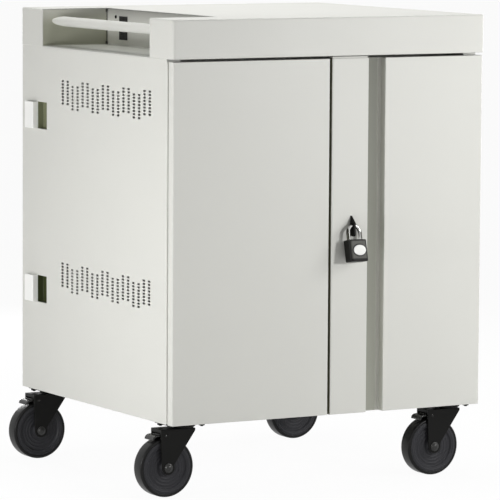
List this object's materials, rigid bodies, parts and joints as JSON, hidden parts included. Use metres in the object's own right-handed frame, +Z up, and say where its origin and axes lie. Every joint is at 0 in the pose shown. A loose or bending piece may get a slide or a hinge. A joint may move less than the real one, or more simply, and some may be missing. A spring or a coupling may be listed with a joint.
{
  "type": "laptop charging cart",
  "caption": "Steel charging cart on swivel casters: double front doors with padlocked hasp, recessed push handle with outlets, slotted sides, divider racks and rear service door.",
  "frame": {"origin": "middle of the footprint on the floor, casters included", "axes": "+Z up, -Y out of the front doors, +X to the right of a person who faces the doors"},
  "size_m": [0.8236, 0.7568, 1.0128],
  "materials": {
    "powder_coat": "light grey powder coat, fine texture",
    "zinc_steel": "zinc-plated steel",
    "chrome": "polished hardened steel",
    "black_paint": "satin black paint",
    "caster_black": "black e-coat",
    "wheel_rubber": "dark grey matt tread and hub",
    "black_plastic": "moulded black plastic",
    "rack_plastic": "moulded dark grey plastic",
    "white_enamel": "light enamel"
  },
  "bodies": {
    "cabinet": {"base_pan": "powder_coat", "left_side_panel": "powder_coat", "right_side_panel": "powder_coat", "left_front_post": "powder_coat", "right_front_post": "powder_coat", "rear_stop_post": "powder_coat", "top_deck": "powder_coat", "top_cap": "powder_coat", "upper_cord_hook": "powder_coat", "lower_cord_hook": "powder_coat", "handle_well": "powder_coat", "handle_bar": "powder_coat", "mid_shelf": "powder_coat", "bay_partition": "powder_coat", "left_door_hinge_frame_leaf": "powder_coat", "left_door_hinge_pin": "zinc_steel", "right_door_hinge_frame_leaf": "powder_coat", "right_door_hinge_pin": "zinc_steel", "rear_door_hinge_frame_leaf": "powder_coat", "rear_door_hinge_pin": "zinc_steel", "upper_convenience_outlet": "black_plastic", "lower_convenience_outlet": "black_plastic", "lower_power_strip": "black_plastic", "upper_power_strip": "black_plastic", "power_inlet": "black_plastic", "lower_divider_rack": "rack_plastic", "upper_divider_rack": "rack_plastic", "front_left_caster_plate": "caster_black", "front_right_caster_plate": "caster_black", "rear_left_caster_plate": "caster_black", "rear_right_caster_plate": "caster_black"},
    "left_door": {"left_door": "powder_coat", "left_door_hinge_door_leaf": "powder_coat"},
    "right_door": {"right_door": "powder_coat", "right_door_hinge_door_leaf": "powder_coat", "hasp_tab": "black_paint"},
    "padlock_shackle": {"padlock_shackle": "chrome"},
    "padlock_body": {"padlock_body": "black_paint", "padlock_face_plate": "white_enamel"},
    "rear_door": {"rear_door": "powder_coat", "rear_door_hinge_door_leaf": "powder_coat"},
    "rear_lock": {"rear_lock_cylinder": "zinc_steel", "rear_lock_cam": "zinc_steel"},
    "front_left_swivel": {"front_left_caster_fork": "caster_black", "front_left_caster_axle": "zinc_steel"},
    "front_left_wheel": {"front_left_caster_wheel": "wheel_rubber"},
    "front_left_pedal": {"front_left_brake_pedal": "caster_black"},
    "front_right_swivel": {"front_right_caster_fork": "caster_black", "front_right_caster_axle": "zinc_steel"},
    "front_right_wheel": {"front_right_caster_wheel": "wheel_rubber"},
    "front_right_pedal": {"front_right_brake_pedal": "caster_black"},
    "rear_left_swivel": {"rear_left_caster_fork": "caster_black", "rear_left_caster_axle": "zinc_steel"},
    "rear_left_wheel": {"rear_left_caster_wheel": "wheel_rubber"},
    "rear_left_pedal": {"rear_left_brake_pedal": "caster_black"},
    "rear_right_swivel": {"rear_right_caster_fork": "caster_black", "rear_right_caster_axle": "zinc_steel"},
    "rear_right_wheel": {"rear_right_caster_wheel": "wheel_rubber"},
    "rear_right_pedal": {"rear_right_brake_pedal": "caster_black"}
  },
  "joints": [
    {"name": "left_door_swing", "type": "hinge", "parent": "cabinet", "child": "left_door", "pos_m": [-0.35727, -0.31193, 0.54], "axis": [0, 0, -1], "range_deg": [0, 175]},
    {"name": "right_door_swing", "type": "hinge", "parent": "cabinet", "child": "right_door", "pos_m": [0.40873, -0.31193, 0.54], "axis": [0, 0, 1], "range_deg": [0, 175]},
    {"name": "rear_door_swing", "type": "hinge", "parent": "cabinet", "child": "rear_door", "pos_m": [0.40373, 0.37457, 0.577], "axis": [0, 0, -1], "range_deg": [0, 170]},
    {"name": "padlock_swing", "type": "hinge", "parent": "right_door", "child": "padlock_shackle", "pos_m": [0.07823, -0.34593, 0.5645], "axis": [-1, 0, 0], "range_deg": [0, 65]},
    {"name": "padlock_release", "type": "slide", "parent": "padlock_shackle", "child": "padlock_body", "axis": [0, -0.225, -0.9744], "range_m": [0, 0.012]},
    {"name": "rear_lock_turn", "type": "hinge", "parent": "rear_door", "child": "rear_lock", "pos_m": [-0.31077, 0.37457, 0.5798], "axis": [0, -1, 0], "range_deg": [0, 90]},
    {"name": "front_left_swivel_turn", "type": "hinge", "parent": "cabinet", "child": "front_left_swivel", "pos_m": [-0.30627, -0.28343, 0.142], "axis": [0, 0, 1], "continuous": true},
    {"name": "front_left_wheel_spin", "type": "hinge", "parent": "front_left_swivel", "child": "front_left_wheel", "pos_m": [-0.34827, -0.28343, 0.0635], "axis": [0, 1, 0], "continuous": true},
    {"name": "front_left_brake_press", "type": "hinge", "parent": "front_left_swivel", "child": "front_left_pedal", "pos_m": [-0.35427, -0.28343, 0.13275], "axis": [0, -1, 0], "range_deg": [0, 10]},
    {"name": "front_right_swivel_turn", "type": "hinge", "parent": "cabinet", "child": "front_right_swivel", "pos_m": [0.35773, -0.28343, 0.142], "axis": [0, 0, 1], "continuous": true},
    {"name": "front_right_wheel_spin", "type": "hinge", "parent": "front_right_swivel", "child": "front_right_wheel", "pos_m": [0.31573, -0.28343, 0.0635], "axis": [0, 1, 0], "continuous": true},
    {"name": "front_right_brake_press", "type": "hinge", "parent": "front_right_swivel", "child": "front_right_pedal", "pos_m": [0.30973, -0.28343, 0.13275], "axis": [0, -1, 0], "range_deg": [0, 10]},
    {"name": "rear_left_swivel_turn", "type": "hinge", "parent": "cabinet", "child": "rear_left_swivel", "pos_m": [-0.30627, 0.32057, 0.142], "axis": [0, 0, 1], "continuous": true},
    {"name": "rear_left_wheel_spin", "type": "hinge", "parent": "rear_left_swivel", "child": "rear_left_wheel", "pos_m": [-0.34827, 0.32057, 0.0635], "axis": [0, 1, 0], "continuous": true},
    {"name": "rear_left_brake_press", "type": "hinge", "parent": "rear_left_swivel", "child": "rear_left_pedal", "pos_m": [-0.35427, 0.32057, 0.13275], "axis": [0, -1, 0], "range_deg": [0, 10]},
    {"name": "rear_right_swivel_turn", "type": "hinge", "parent": "cabinet", "child": "rear_right_swivel", "pos_m": [0.35773, 0.32057, 0.142], "axis": [0, 0, 1], "continuous": true},
    {"name": "rear_right_wheel_spin", "type": "hinge", "parent": "rear_right_swivel", "child": "rear_right_wheel", "pos_m": [0.31573, 0.32057, 0.0635], "axis": [0, 1, 0], "continuous": true},
    {"name": "rear_right_brake_press", "type": "hinge", "parent": "rear_right_swivel", "child": "rear_right_pedal", "pos_m": [0.30973, 0.32057, 0.13275], "axis": [0, -1, 0], "range_deg": [0, 10]}
  ]
}
